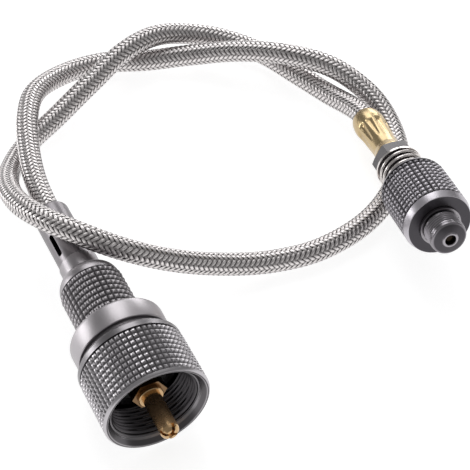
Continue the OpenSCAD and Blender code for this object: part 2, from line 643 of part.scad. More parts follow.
module valve_plunger() color(brass) outlet() rotate_extrude() polygon([[0, z_tip + 0.9], [1, z_tip + 0.9],
    [1.2, z_tip + 1.2], [1.2, z_head], [plunger_d / 2, z_head], [plunger_d / 2, z_head + head_t],
    [0.9, z_head + head_t], [0.9, z_vret + 0.6 + plunger_travel], [0, z_vret + 0.6 + plunger_travel]]);

module valve_retainer() color(brass) outlet() difference() {
    tube(z_vret, z_vret + valve_retainer_t, chamber_d / 2 - fit_gap, 0.9 + run_gap);
    for (a = [0, 120, 240]) rotate([0, 0, a]) translate([1.85, 0, z_vret - 1])
        cylinder(h = 6, r = 0.45, $fn = 32);
}

stem_body();
nut_retainer();
nut_washer();
coupling_nut();
seat_gasket();
inlet_probe();
inlet_hose_tail();
inlet_ferrule();
tail_sleeve();
hose_liner();
hose_braid();
outlet_ferrule();
outlet_hose_tail();
hex_adapter();
swivel_oring();
swivel_ring();
spring_washer();
collar_spring();
outlet_nipple();
stop_ring();
outlet_collar();
valve_seat();
valve_plunger();
valve_spring();
valve_retainer();
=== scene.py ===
# Braided gas hose adapter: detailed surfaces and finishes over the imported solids.
# The settings are in millimetres and the meshes in metres.
import bpy
import json
import math
import numpy as np
from mathutils import Matrix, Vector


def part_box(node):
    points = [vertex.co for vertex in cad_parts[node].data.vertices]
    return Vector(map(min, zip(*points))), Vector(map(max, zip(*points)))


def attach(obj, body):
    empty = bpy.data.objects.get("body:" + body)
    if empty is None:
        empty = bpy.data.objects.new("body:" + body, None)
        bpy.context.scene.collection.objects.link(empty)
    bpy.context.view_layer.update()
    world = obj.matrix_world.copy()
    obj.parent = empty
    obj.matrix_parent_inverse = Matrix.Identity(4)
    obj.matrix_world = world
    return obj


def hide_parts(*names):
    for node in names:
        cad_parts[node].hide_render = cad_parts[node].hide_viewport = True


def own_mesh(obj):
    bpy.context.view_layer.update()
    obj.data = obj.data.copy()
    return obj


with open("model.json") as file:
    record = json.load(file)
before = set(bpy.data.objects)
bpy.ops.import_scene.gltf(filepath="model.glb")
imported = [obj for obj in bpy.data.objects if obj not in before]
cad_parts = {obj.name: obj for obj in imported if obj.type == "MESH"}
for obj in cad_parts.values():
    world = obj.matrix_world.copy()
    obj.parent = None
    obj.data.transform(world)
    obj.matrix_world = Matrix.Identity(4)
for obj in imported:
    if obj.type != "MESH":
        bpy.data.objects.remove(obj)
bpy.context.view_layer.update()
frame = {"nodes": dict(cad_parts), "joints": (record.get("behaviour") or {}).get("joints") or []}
scene = bpy.context.scene
mm = 0.001
print("frame loaded")

# Where the two fittings are. Each has its own z, back along its axis: from the nut's mouth, and from the
# collar's face at rest. The route and the camera are given from a zero just behind the nut's mouth.
placeSet = {"zeroBehindMouth": 0.08, "nippleJoint": 12}
nutLow, nutHigh = [np.array(v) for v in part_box("coupling_nut")]
inletPlace = np.array([(nutLow[0] + nutHigh[0]) / 2, nutLow[1], (nutLow[2] + nutHigh[2]) / 2])
inletTurn = np.array([[1.0, 0, 0], [0, 0, 1.0], [0, -1.0, 0]])
jointOf = {joint["name"]: joint for joint in frame["joints"]}
outAxis = np.array(jointOf["collar_slide"]["axis"], float)
outAxis /= np.linalg.norm(outAxis)
outSide = np.cross([0, 0, 1.0], -outAxis)
outSide /= np.linalg.norm(outSide)
outletTurn = np.column_stack([outSide, np.cross(outAxis, outSide), outAxis])
outletPlace = np.array(jointOf["nipple_turn"]["pos_m"]) - outAxis * placeSet["nippleJoint"] * mm
partShift = np.array([inletPlace[0], inletPlace[1] + placeSet["zeroBehindMouth"] * mm, 0])


# Points of a fitting in millimetres are turned onto its axis and moved to its place.
def atInlet(points):
    return points * mm @ inletTurn.T + inletPlace


def atOutlet(points):
    return points * mm @ outletTurn.T + outletPlace


# The camera stands in front, to the left and well above.
cameraSet = {"place": (-105.18, -270.60, 409.46), "forward": (0.28574, 0.60332, -0.74455),
    "lens": 137.87, "sensor": 36, "nearest": 0.01}
camera = bpy.data.objects.new("camera", bpy.data.cameras.new("camera"))
camera.data.lens = cameraSet["lens"]
camera.data.sensor_width = cameraSet["sensor"]
camera.data.clip_start = cameraSet["nearest"]
scene.collection.objects.link(camera)
scene.camera = camera


# A turn whose columns are the side, the up and the backward direction of something that looks along ahead.
def facing(ahead, place):
    ahead = np.array(ahead, float) / np.linalg.norm(ahead)
    side = np.cross(ahead, [0, 0, 1.0])
    side /= np.linalg.norm(side)
    above = np.cross(side, ahead)
    turn = Matrix([[side[i], above[i], -ahead[i]] for i in range(3)]).to_4x4()
    turn.translation = place
    return turn


camera.matrix_world = facing(cameraSet["forward"], np.array(cameraSet["place"]) * mm + partShift)


# Points and four-sided faces become a closed mesh whose faces point outwards: the sum of the signed
# volumes between its faces and the origin is made positive.
def putMesh(name, points, quads, uv=None, values=None, smoothAngle=35):
    a, b, c, d = (points[quads[:, k]] for k in range(4))
    volume = np.einsum("ij,ij->", a, np.cross(b, c)) + np.einsum("ij,ij->", a, np.cross(c, d))
    if volume < 0:
        quads = quads[:, ::-1]
        uv = None if uv is None else uv[:, ::-1]
    mesh = bpy.data.meshes.new(name)
    mesh.vertices.add(len(points))
    mesh.vertices.foreach_set("co", points.astype(np.float32).ravel())
    mesh.loops.add(quads.size)
    mesh.loops.foreach_set("vertex_index", quads.astype(np.int32).ravel())
    mesh.polygons.add(len(quads))
    mesh.polygons.foreach_set("loop_start", np.arange(0, quads.size, 4, dtype=np.int32))
    mesh.polygons.foreach_set("use_smooth", np.ones(len(quads), bool))
    mesh.update(calc_edges=True)
    if uv is not None:
        layer = mesh.uv_layers.new(name="along")
        layer.data.foreach_set("uv", uv.astype(np.float32).ravel())
    for key, data in (values or {}).items():
        layer = mesh.attributes.new(key, "FLOAT", "POINT")
        layer.data.foreach_set("value", data.astype(np.float32).ravel())
    mesh.validate()
    mesh.set_sharp_from_angle(angle=math.radians(smoothAngle))
    piece = bpy.data.objects.new(name, mesh)
    scene.collection.objects.link(piece)
    return piece


# Faces of a grid that closes both ways: each joins a point, its next in the row, and the two below.
def gridQuads(rows, columns):
    i, j = np.meshgrid(np.arange(rows), np.arange(columns), indexing="ij")
    i2 = (i + 1) % rows
    j2 = (j + 1) % columns
    corners = [i * columns + j, i * columns + j2, i2 * columns + j2, i2 * columns + j]
    return np.stack(corners, -1).reshape(-1, 4)


# A profile with rounded corners, each (r, z, radius, tone): the corner is cut back along both sides by
# its radius over the tangent of half its angle, and an arc tangent to both sides joins the cuts. A cut
# takes no more than a share of either side, and a corner that is sharp or nearly straight stays.
# A corner's tone is the share of colour left after painted shade; 1 is full colour.
cornerSet = {"usual": [0.08, 1.0], "mostCut": 0.45, "leastCut": 1e-4, "straight": 1.55}


def fillet(corners, steps=4):
    data = np.array([list(c) + cornerSet["usual"][len(c) - 2:] for c in corners], float)
    flat = data[:, :2]
    out = []
    neighbours = zip(flat, np.roll(flat, 1, 0), np.roll(flat, -1, 0), data)
    for point, before, after, (_, _, radius, tone) in neighbours:
        u = before - point
        v = after - point
        lengthU, lengthV = np.linalg.norm(u), np.linalg.norm(v)
        u, v = u / lengthU, v / lengthV
        half = math.acos(max(-1, min(1, float(u @ v)))) / 2
        cut = min(radius / math.tan(half), cornerSet["mostCut"] * min(lengthU, lengthV))
        if cut < cornerSet["leastCut"] or half > cornerSet["straight"]:
            out.append([*point, tone])
            continue
        middle = point + (u + v) / np.linalg.norm(u + v) * cut / math.cos(half)
        start, end = point + u * cut - middle, point + v * cut - middle
        t = np.linspace(0, 1, steps + 1)[:, None]
        sweep = math.pi - 2 * half
        arc = middle + (np.sin((1 - t) * sweep) * start + np.sin(t * sweep) * end) / math.sin(sweep)
        out += [[*p, tone] for p in arc]
    return np.array(out)


# Parts of a profile, rows of (r, z, tone), are carried round the axis: x = r cos a, y = r sin a. A part's
# shape gives new radii and a factor for the tone, which is 1 where the surface is fully coloured and lower
# where shade is painted in.
def revolve(name, place, parts, columns, smoothAngle=35):
    angle = np.arange(columns) * 2 * math.pi / columns
    radii, heights, tones = [], [], []
    for profile, shape in parts:
        r, a = np.meshgrid(profile[:, 0], angle, indexing="ij")
        z = np.repeat(profile[:, 1:2], columns, 1)
        tone = np.repeat(profile[:, 2:3], columns, 1)
        if shape:
            r, factor = shape(r, z, a)
            tone = tone * factor
        radii.append(r)
        heights.append(z)
        tones.append(tone)
    r = np.vstack(radii)
    z = np.vstack(heights)
    points = np.stack([r * np.cos(angle), r * np.sin(angle), z], -1).reshape(-1, 3)
    outline = np.vstack([profile[:, :2] for profile, shape in parts])
    rows = len(outline)
    walked = np.r_[0, np.cumsum(np.linalg.norm(np.diff(np.vstack([outline, outline[:1]]), axis=0), axis=1))]
    i, j = np.meshgrid(np.arange(rows), np.arange(columns), indexing="ij")
    u = np.stack([j, j + 1, j + 1, j], -1) / columns * 2 * math.pi * outline[:, 0].max()
    v = np.stack([walked[i], walked[i], walked[i + 1], walked[i + 1]], -1)
    uv = np.stack([u, v], -1).reshape(-1, 4, 2)
    return putMesh(name, place(points), gridQuads(rows, columns), uv, {"tone": np.vstack(tones)}, smoothAngle)


# Evenly spaced rows of a wall between two stations.
def wall(start, end, radius, count, tone=1.0):
    z = np.linspace(start, end, count)
    return np.stack([np.full_like(z, radius), z, np.full_like(z, tone)], -1)


# Quarter of an ellipse from a wall of a radius to a face deep further on and inward further in.
def quarterRound(radius, start, inward, deep, count=12):
    t = np.linspace(0, math.pi / 2, count)
    return np.stack([radius - inward * (1 - np.cos(t)), start + deep * np.sin(t), np.ones_like(t)], -1)


# Rings of a tube: each point of the line plus radius times (cos, sin) of the angle across it.
def tube(line, sideways, upward, radius, sides):
    a = np.arange(sides)[None, :, None] * 2 * math.pi / sides
    return line[:, None] + radius * (np.cos(a) * sideways[:, None] + np.sin(a) * upward[:, None])


# Faces of a tube of rings, closed at each end onto its middle point, which comes after the rings.
def capped(points, rings, sides):
    i, j = np.meshgrid(np.arange(rings - 1), np.arange(sides), indexing="ij")
    j2 = (j + 1) % sides
    body = [i * sides + j, i * sides + j2, (i + 1) * sides + j2, (i + 1) * sides + j]
    k = np.arange(0, sides, 2)
    last = (rings - 1) * sides
    middle = rings * sides
    first = np.stack([np.full_like(k, middle), (k + 2) % sides, k + 1, k], -1)
    end = np.stack([np.full_like(k, middle + 1), last + k, last + k + 1, last + (k + 2) % sides], -1)
    middles = np.stack([points[:sides].mean(0), points[last:last + sides].mean(0)])
    return np.vstack([points, middles]), np.vstack([np.stack(body, -1).reshape(-1, 4), first, end])


# A piece takes its material, rides on a body, and stands for the nodes that it replaces.
def finish(piece, body, slot, material, *nodes):
    piece.data.materials.append(material)
    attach(piece, body)
    if nodes:
        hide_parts(*nodes)
    return piece


# One operation on two sockets or numbers, held between 0 and 1 where clamp is asked for.
def mathNode(tree, kind, a, b=None, clamp=False):
    node = tree.nodes.new("ShaderNodeMath")
    node.operation = kind
    node.use_clamp = clamp
    for socket, value in zip(node.inputs, (a, b)):
        if isinstance(value, (int, float)):
            socket.default_value = value
        elif value is not None:
            tree.links.new(value, socket)
    return node.outputs[0]


# Low plus amount times (high less low), where each is a colour or a socket.
def mixColours(tree, amount, low, high):
    node = tree.nodes.new("ShaderNodeMix")
    node.data_type = "RGBA"
    tree.links.new(amount, node.inputs[0])
    for socket, value in zip((node.inputs[6], node.inputs[7]), (low, high)):
        if isinstance(value, tuple):
            socket.default_value = (*value, 1)
        else:
            tree.links.new(value, socket)
    return node.outputs[2]


# Noise whose features are about 1 / scale of a metre across, or of the vector's own unit.
def noiseNode(tree, vector, scale, detail=3, rough=0.5):
    node = tree.nodes.new("ShaderNodeTexNoise")
    node.inputs["Scale"].default_value = scale
    node.inputs["Detail"].default_value = detail
    node.inputs["Roughness"].default_value = rough
    tree.links.new(vector, node.inputs["Vector"])
    return node.outputs["Fac"]


# Noise between these two values is spread in a straight line from low to high.
noiseReach = (0.3, 0.7)


def spread(tree, value, low, high):
    node = tree.nodes.new("ShaderNodeMapRange")
    node.inputs["From Min"].default_value = noiseReach[0]
    node.inputs["From Max"].default_value = noiseReach[1]
    node.inputs["To Min"].default_value = low
    node.inputs["To Max"].default_value = high
    tree.links.new(value, node.inputs["Value"])
    return node.outputs[0]


# A bump whose height of 1 stands for a distance in millimetres.
def bumpNode(tree, height, strength, distance):
    node = tree.nodes.new("ShaderNodeBump")
    node.inputs["Strength"].default_value = strength
    node.inputs["Distance"].default_value = distance * mm
    tree.links.new(height, node.inputs["Height"])
    return node.outputs[0]


# A new node material, with its tree and its shader.
def newMaterial(name):
    material = bpy.data.materials.new(name)
    material.use_nodes = True
    tree = material.node_tree
    return material, tree, tree.nodes["Principled BSDF"]


# Blasted metal: a fine grain, soft clouds and, where asked for, turned lines round the axis. The tone is
# the clouds times their share plus the grain times the rest.
grainSet = {"fine": 3200, "clouds": 170, "turned": 9, "cloudShare": 0.6, "deep": 0.03}
satinGrain = bpy.data.node_groups.new("satinGrain", "ShaderNodeTree")
satinGrain.interface.new_socket("Place", in_out="INPUT", socket_type="NodeSocketVector")
satinGrain.interface.new_socket("Grain", in_out="INPUT", socket_type="NodeSocketFloat")
satinGrain.interface.new_socket("Lines", in_out="INPUT", socket_type="NodeSocketFloat")
for output in ("Tone", "Height", "Cloud"):
    satinGrain.interface.new_socket(output, in_out="OUTPUT", socket_type="NodeSocketFloat")
grainIn = satinGrain.nodes.new("NodeGroupInput")
grainOut = satinGrain.nodes.new("NodeGroupOutput")
fineGrain = noiseNode(satinGrain, grainIn.outputs["Place"], grainSet["fine"], 2)
softCloud = noiseNode(satinGrain, grainIn.outputs["Place"], grainSet["clouds"], 3)
alongUv = satinGrain.nodes.new("ShaderNodeUVMap")
alongUv.uv_map = "along"
alongParts = satinGrain.nodes.new("ShaderNodeSeparateXYZ")
alongOnly = satinGrain.nodes.new("ShaderNodeCombineXYZ")
satinGrain.links.new(alongUv.outputs[0], alongParts.inputs[0])
satinGrain.links.new(alongParts.outputs[1], alongOnly.inputs[1])
turnedNoise = noiseNode(satinGrain, alongOnly.outputs[0], grainSet["turned"], 4, 0.7)
turnedLines = mathNode(satinGrain, "MULTIPLY", turnedNoise, grainIn.outputs["Lines"])
grainBlast = mathNode(satinGrain, "MULTIPLY", fineGrain, grainIn.outputs["Grain"])
grainHeight = mathNode(satinGrain, "ADD", turnedLines, grainBlast)
cloudPart = mathNode(satinGrain, "MULTIPLY", softCloud, grainSet["cloudShare"])
grainPart = mathNode(satinGrain, "MULTIPLY", fineGrain, 1 - grainSet["cloudShare"])
grainTone = mathNode(satinGrain, "ADD", cloudPart, grainPart)
satinGrain.links.new(grainHeight, grainOut.inputs["Height"])
satinGrain.links.new(grainTone, grainOut.inputs["Tone"])
satinGrain.links.new(softCloud, grainOut.inputs["Cloud"])


# Metal whose colour runs between two tones with the grain. Where a groove colour is given, the tone
# attribute darkens the colour towards it: painted shade in grooves, bores, faces and rears, while rounded
# edges left at full colour are painted highlights. A painted shadow comes in between two depths behind the
# inlet's mouth.
def metal(name, settings):
    material, tree, shader = newMaterial(name)
    shader.inputs["Metallic"].default_value = 1.0
    coords = tree.nodes.new("ShaderNodeTexCoord")
    grain = tree.nodes.new("ShaderNodeGroup")
    grain.node_tree = satinGrain
    grain.inputs["Grain"].default_value = settings.get("grain", 0.3)
    grain.inputs["Lines"].default_value = settings.get("lines", 0.0)
    tree.links.new(coords.outputs["Object"], grain.inputs["Place"])
    colour = mixColours(tree, grain.outputs["Tone"], settings["dark"], settings["light"])
    # The groove colour is the painted shade that the tone attribute mixes in.
    if "groove" in settings:
        tone = tree.nodes.new("ShaderNodeAttribute")
        tone.attribute_name = "tone"
        colour = mixColours(tree, tone.outputs["Fac"], settings["groove"], colour)
    # Painted shadow: the colour darkens between two depths behind the inlet's mouth, where the nut shades it.
    if "socketShadow" in settings:
        socketShadow = settings["socketShadow"]
        parts = tree.nodes.new("ShaderNodeSeparateXYZ")
        tree.links.new(coords.outputs["Object"], parts.inputs[0])
        reach = tree.nodes.new("ShaderNodeMapRange")
        reach.inputs["From Min"].default_value = inletPlace[1] + socketShadow["start"] * mm
        reach.inputs["From Max"].default_value = inletPlace[1] + socketShadow["end"] * mm
        tree.links.new(parts.outputs["Y"], reach.inputs["Value"])
        colour = mixColours(tree, reach.outputs[0], colour, socketShadow["colour"])
    tree.links.new(colour, shader.inputs["Base Color"])
    tree.links.new(spread(tree, grain.outputs["Cloud"], *settings["rough"]), shader.inputs["Roughness"])
    bump = bumpNode(tree, grain.outputs["Height"], settings.get("bump", 0.25), grainSet["deep"])
    tree.links.new(bump, shader.inputs["Normal"])
    return material


# Rubber or nylon: a matt colour with soft clouds and a fine grain.
matteSet = {"clouds": 400, "fine": 3000, "bump": 0.2, "deep": 0.05}


def plainSurface(name, settings):
    material, tree, shader = newMaterial(name)
    coords = tree.nodes.new("ShaderNodeTexCoord")
    cloud = noiseNode(tree, coords.outputs["Object"], matteSet["clouds"], 3)
    tree.links.new(mixColours(tree, cloud, settings["dark"], settings["light"]), shader.inputs["Base Color"])
    tree.links.new(spread(tree, cloud, *settings["rough"]), shader.inputs["Roughness"])
    fine = noiseNode(tree, coords.outputs["Object"], matteSet["fine"], 2)
    bump = bumpNode(tree, fine, matteSet["bump"], matteSet["deep"])
    tree.links.new(bump, shader.inputs["Normal"])
    return material


# The groove colours are painted shade: each finish is darkened towards its groove colour by the tone
# attribute.
nutFinish = metal("nutGrey", {"dark": (0.46, 0.44, 0.46), "light": (0.58, 0.56, 0.58),
    "groove": (0.020, 0.017, 0.020), "rough": (0.27, 0.34), "grain": 0.35})
stemFinish = metal("stemGrey", {"dark": (0.40, 0.38, 0.395), "light": (0.50, 0.475, 0.495),
    "groove": (0.020, 0.017, 0.020), "rough": (0.34, 0.42), "grain": 0.15, "lines": 0.8, "bump": 0.3})
# The sleeve's grey is the stem's grey darkened: painted shade for the hose's shadow over the tail.
shadedSleeveFinish = metal("shadedSleeveGrey", {"dark": (0.20, 0.188, 0.198), "light": (0.27, 0.255, 0.267),
    "rough": (0.32, 0.40), "grain": 0.25})
collarFinish = metal("collarDark", {"dark": (0.47, 0.448, 0.482), "light": (0.60, 0.574, 0.615),
    "groove": (0.022, 0.020, 0.024), "rough": (0.30, 0.37), "grain": 0.35})
nippleFinish = metal("nippleDark", {"dark": (0.34, 0.32, 0.346), "light": (0.45, 0.426, 0.456),
    "groove": (0.022, 0.020, 0.024), "rough": (0.26, 0.33), "grain": 0.2, "lines": 0.5})
hexFinish = metal("hexDark", {"dark": (0.08, 0.077, 0.08), "light": (0.21, 0.203, 0.206),
    "rough": (0.36, 0.44), "grain": 1.0, "bump": 0.6})
ringFinish = metal("ringGrey", {"dark": (0.30, 0.285, 0.30), "light": (0.40, 0.38, 0.40),
    "rough": (0.26, 0.33), "grain": 0.2})
ferruleFinish = metal("ferruleBrass", {"dark": (0.48, 0.36, 0.20), "light": (0.60, 0.47, 0.27),
    "groove": (0.30, 0.19, 0.08), "rough": (0.22, 0.30), "grain": 0.15})
# The probe's brass darkens behind the nut's mouth: a painted shadow from the nut.
probeFinish = metal("probeBrass", {"dark": (0.54, 0.35, 0.18), "light": (0.66, 0.45, 0.24),
    "rough": (0.22, 0.32), "grain": 0.2, "socketShadow": {"start": 4.6, "end": 5.8, "colour": (0.17, 0.095, 0.045)}})
innerBrass = metal("innerBrass", {"dark": (0.50, 0.32, 0.16), "light": (0.62, 0.42, 0.22),
    "rough": (0.22, 0.32), "grain": 0.2})
# The valve pin is near black: painted shade for the inside of the nipple's hole.
pinInShade = metal("pinShadedDark", {"dark": (0.016, 0.012, 0.009), "light": (0.035, 0.026, 0.018),
    "rough": (0.3, 0.4)})
springFinish = metal("springWire", {"dark": (0.66, 0.62, 0.60), "light": (0.82, 0.78, 0.76),
    "rough": (0.16, 0.22), "grain": 0.1})
rubber = plainSurface("blackRubber", {"dark": (0.012, 0.012, 0.012), "light": (0.03, 0.03, 0.03),
    "rough": (0.5, 0.6)})
nylon = plainSurface("whiteNylon", {"dark": (0.6, 0.6, 0.56), "light": (0.75, 0.74, 0.7),
    "rough": (0.45, 0.55)})
print("finishes made")

# The hose leaves the sleeve, passes over itself twice and comes back into the outlet's ferrule.
hoseSet = {"carriers": 12, "layLength": 19.1, "middle": 3.23, "wave": 0.16, "thick": 0.24, "halfWidth": 0.48,
    "ringsPerStrand": 1290, "coreRadius": 3.0, "coreRings": 600, "coreSides": 20, "samples": 12000}
freeRoute = [(1, 94, 15.3), (4, 108, 14), (9, 123, 12.8), (16.5, 136, 10), (28.5, 144, 6.2),
    (43, 146, 4), (57.5, 141, 3.7), (71, 134.7, 6), (84, 126, 9.8), (96.5, 115.6, 12),
    (107.6, 104.9, 10.9), (114.7, 92, 7), (115.5, 79, 4.1), (111.3, 66, 3.65), (102, 54, 3.65),
    (88, 45.5, 3.7), (71, 42, 3.7), (55, 43.5, 4.4), (40, 46.3, 7.8), (26, 49, 13.6),
    (13, 52.8, 20.7), (2.5, 60, 25.2), (-5, 70.3, 25.3), (-8.4, 82.7, 21.5), (-7.1, 96.6, 15),
    (-1.4, 109.6, 8.4), (7.5, 120.5, 4.6), (20.5, 128, 4.8), (35, 134.5, 8), (49, 140, 11.5),
    (62, 143.4, 11), (75, 142.2, 7.6), (86, 136.3, 5), (94, 126.5, 3.8), (99.5, 113.5, 3.7),
    (104, 100, 4.7)]
# The ends of the hose on the two fittings' axes.
inletEnds = np.array([[0, 0, 70.68], [0, 0, 80.08]])
outletEnds = np.array([[0, 0, 64.98], [0, 0, 47.08]])
routePoints = np.vstack([atInlet(inletEnds), np.array(freeRoute) * mm + partShift, atOutlet(outletEnds)])


# A line through all the points: each span is a cubic whose slope at a point is half the step between its
# two neighbours. It is then cut at equal lengths.
def smoothLine(points, count):
    p = np.vstack([2 * points[0] - points[1], points, 2 * points[-1] - points[-2]])
    u = np.linspace(0, len(points) - 1, hoseSet["samples"])
    i = np.minimum(u.astype(int), len(points) - 2)
    t = (u - i)[:, None]
    p0, p1, p2, p3 = p[i], p[i + 1], p[i + 2], p[i + 3]
    line = (2 * p1 + (p2 - p0) * t + (2 * p0 - 5 * p1 + 4 * p2 - p3) * t**2
            + (3 * p1 - p0 - 3 * p2 + p3) * t**3) / 2
    walked = np.r_[0, np.cumsum(np.linalg.norm(np.diff(line, axis=0), axis=1))]
    cut = np.linspace(0, walked[-1], count)
    line = np.stack([np.interp(cut, walked, line[:, k]) for k in range(3)], -1)
    ahead = np.gradient(line, axis=0)
    ahead /= np.linalg.norm(ahead, axis=1)[:, None]
    sideways = np.cross(ahead, [0, 0, 1.0])
    sideways /= np.linalg.norm(sideways, axis=1)[:, None]
    return line, ahead, sideways, np.cross(sideways, ahead), cut


# The six corners of a strand's section: across it in half widths, out in thicknesses, its tone, and the v
# that the wires follow. The closed ends take the v of one corner, and uStep is one ring's share of u. The
# tone is painted shade on the underside and edges, and it swings round its middle with the height: painted
# shade where the strand dives and a painted highlight where it floats.
strandSet = {"across": (-1.0, -0.45, 0.45, 1.0, 0.85, -0.85), "out": (0.125, 0.5, 0.5, 0.125, -0.5, -0.5),
    "tone": (0.45, 1, 1, 0.45, 0.1, 0.1), "v": (0, 0.27, 0.73, 1.0, 0.92, 0.08),
    "endCorner": 2, "uStep": 0.7, "toneMiddle": 0.5, "toneSwing": 0.8}


# Flat strands wound one way round the hose. A strand's angle grows with the length walked, and it rides
# over two strands of the other half and under two: middle + wave sin(6 angle + 45 degrees). Its width is
# laid across its run, and its tone falls where it dives and along its edges, as painted shade.
def braidHalf(name, sign):
    s = hoseSet
    line, ahead, sideways, upward, walked = smoothLine(routePoints, s["ringsPerStrand"])
    start = np.arange(s["carriers"])[:, None] * 2 * math.pi / s["carriers"]
    angle = start + sign * 2 * math.pi * walked[None] / mm / s["layLength"]
    ride = sign * np.sin(s["carriers"] / 2 * angle + math.pi / 4)
    slope = math.atan2(2 * math.pi * s["middle"], s["layLength"])
    across = np.array(strandSet["across"]) * s["halfWidth"]
    depth = np.array(strandSet["out"]) * s["thick"]
    theta = angle[..., None] + across * math.cos(slope) / s["middle"]
    along = -sign * across * math.sin(slope) * mm
    radius = (s["middle"] + s["wave"] * ride)[..., None] + depth
    outward = (np.cos(theta)[..., None] * sideways[None, :, None]
        + np.sin(theta)[..., None] * upward[None, :, None])
    points = line[None, :, None] + along[:, None] * ahead[None, :, None] + radius[..., None] * mm * outward
    lift = np.clip(strandSet["toneMiddle"] + strandSet["toneSwing"] * ride, 0, 1)
    tone = lift[..., None] * np.array(strandSet["tone"])
    rings, sides = s["ringsPerStrand"], len(across)
    size = rings * sides + 2
    # The middles of the closed ends take tone 0: painted shade.
    ends = np.zeros((s["carriers"], 2))
    tone = np.hstack([tone.reshape(s["carriers"], -1), ends])
    strands = [capped(points[k].reshape(-1, 3), rings, sides) for k in range(s["carriers"])]
    allPoints = np.vstack([strand[0] for strand in strands])
    allQuads = np.vstack([strand[1] + k * size for k, strand in enumerate(strands)])
    inStrand = allQuads % size
    onRing = inStrand < rings * sides
    v = np.array(strandSet["v"])[np.where(onRing, inStrand % sides, strandSet["endCorner"])]
    u = np.where(onRing, inStrand // sides, 0) * strandSet["uStep"]
    return putMesh(name, allPoints, allQuads, np.stack([u, v], -1), {"tone": tone}, smoothAngle=50)


# Bundled wires: fine ridges |sin(wires pi v)| run along a strand. Its tone darkens it as painted shade where
# it dives and on its edges and underside, and so do the lines between the wires, painted shade in their
# valleys, and soft clouds.
# The dark colour is the painted shade that the tone mixes towards.
braidSet = {"dark": (0.040, 0.034, 0.036), "light": (0.88, 0.84, 0.835), "rough": (0.20, 0.29), "wires": 5,
    "between": 0.80, "clouds": 700, "cloudLow": 0.8, "cloudSwing": 0.4, "bump": 0.5, "deep": 0.05}
braidFinish, braidTree, braidShader = newMaterial("braidWire")
braidShader.inputs["Metallic"].default_value = 1.0
braidUv = braidTree.nodes.new("ShaderNodeUVMap")
braidUv.uv_map = "along"
braidParts = braidTree.nodes.new("ShaderNodeSeparateXYZ")
braidTree.links.new(braidUv.outputs[0], braidParts.inputs[0])
braidPhase = mathNode(braidTree, "MULTIPLY", braidParts.outputs[1], braidSet["wires"] * math.pi)
braidRidge = mathNode(braidTree, "ABSOLUTE", mathNode(braidTree, "SINE", braidPhase))
braidTone = braidTree.nodes.new("ShaderNodeAttribute")
braidTone.attribute_name = "tone"
braidCoords = braidTree.nodes.new("ShaderNodeTexCoord")
braidCloud = noiseNode(braidTree, braidCoords.outputs["Object"], braidSet["clouds"], 3)
braidRise = mathNode(braidTree, "MULTIPLY", braidRidge, 1 - braidSet["between"])
braidLines = mathNode(braidTree, "ADD", braidRise, braidSet["between"])
braidSwing = mathNode(braidTree, "MULTIPLY", braidCloud, braidSet["cloudSwing"])
braidCloudy = mathNode(braidTree, "ADD", braidSwing, braidSet["cloudLow"])
braidLit = mathNode(braidTree, "MULTIPLY", braidTone.outputs["Fac"], braidLines)
braidAmount = mathNode(braidTree, "MULTIPLY", braidLit, braidCloudy, True)
braidColour = mixColours(braidTree, braidAmount, braidSet["dark"], braidSet["light"])
braidTree.links.new(braidColour, braidShader.inputs["Base Color"])
braidTree.links.new(spread(braidTree, braidCloud, *braidSet["rough"]), braidShader.inputs["Roughness"])
braidBump = bumpNode(braidTree, braidRidge, braidSet["bump"], braidSet["deep"])
braidTree.links.new(braidBump, braidShader.inputs["Normal"])

coreFinish = plainSurface("hoseCore", {"dark": (0.020, 0.017, 0.018), "light": (0.04, 0.034, 0.036),
    "rough": (0.55, 0.65)})
coreRings, coreSides = hoseSet["coreRings"], hoseSet["coreSides"]
coreLine, _, coreSide, coreUp, coreWalk = smoothLine(routePoints, coreRings)
coreTube = tube(coreLine, coreSide, coreUp, hoseSet["coreRadius"] * mm, coreSides).reshape(-1, 3)
hoseCore = putMesh("hoseCore", *capped(coreTube, coreRings, coreSides), smoothAngle=40)
finish(hoseCore, "hose_assembly", "black_rubber", coreFinish, "hose_braid", "hose_liner")
braidRight = finish(braidHalf("braidRight", 1), "hose_assembly", "braid_steel", braidFinish)
braidLeft = finish(braidHalf("braidLeft", -1), "hose_assembly", "braid_steel", braidFinish)
print("hose made", round(float(coreWalk[-1]), 4), "m")


# A knurl of square pyramids with small flat tops: the height is the lesser of two ramps, one along the
# axis and one round it, each 0 at a groove and 1 over the flat part. The tone rises with the height, from
# the painted shade at the groove's floor to 1, so the grooves are darkened as painted shade. The mesh has
# toothSteps steps to a tooth.
toothSteps = 8
knurlShade = {"from": 0.25, "rise": 1.8}


def pyramids(s):
    def shape(r, z, a):
        ramps = []
        alongAxis = (z - s["start"]) / (s["end"] - s["start"]) * s["rings"]
        for phase in (alongAxis, a / (2 * math.pi) * s["around"]):
            gap = np.abs(phase - np.round(phase)) * 2
            ramps.append(np.clip(gap / (1 - s["flat"]), 0, 1))
        top = np.minimum(*ramps)
        toothLight = np.clip((top - knurlShade["from"]) * knurlShade["rise"], 0, 1)
        return r - s["depth"] * (1 - top), s["grime"] + (1 - s["grime"]) * toothLight
    return shape


# A helical V thread: the cut is a triangle wave of z over the pitch less a full turn's share of the
# angle, with its points cut flat, and it fades in at both ends. Its tone falls with the cut by the shade
# share: painted shade in the thread's grooves.
threadFlat = 0.1


def helix(s):
    def shape(r, z, a):
        phase = z / s["pitch"] - a / (2 * math.pi)
        wave = np.clip((np.abs(phase - np.round(phase)) * 2 - threadFlat) / (1 - 2 * threadFlat), 0, 1)
        wave = wave * np.clip((z - s["start"]) / s["run"], 0, 1) * np.clip((s["end"] - z) / s["run"], 0, 1)
        return r - s["cut"] * wave, 1 - s["shade"] * (wave if s["cut"] > 0 else 1 - wave)
    return shape


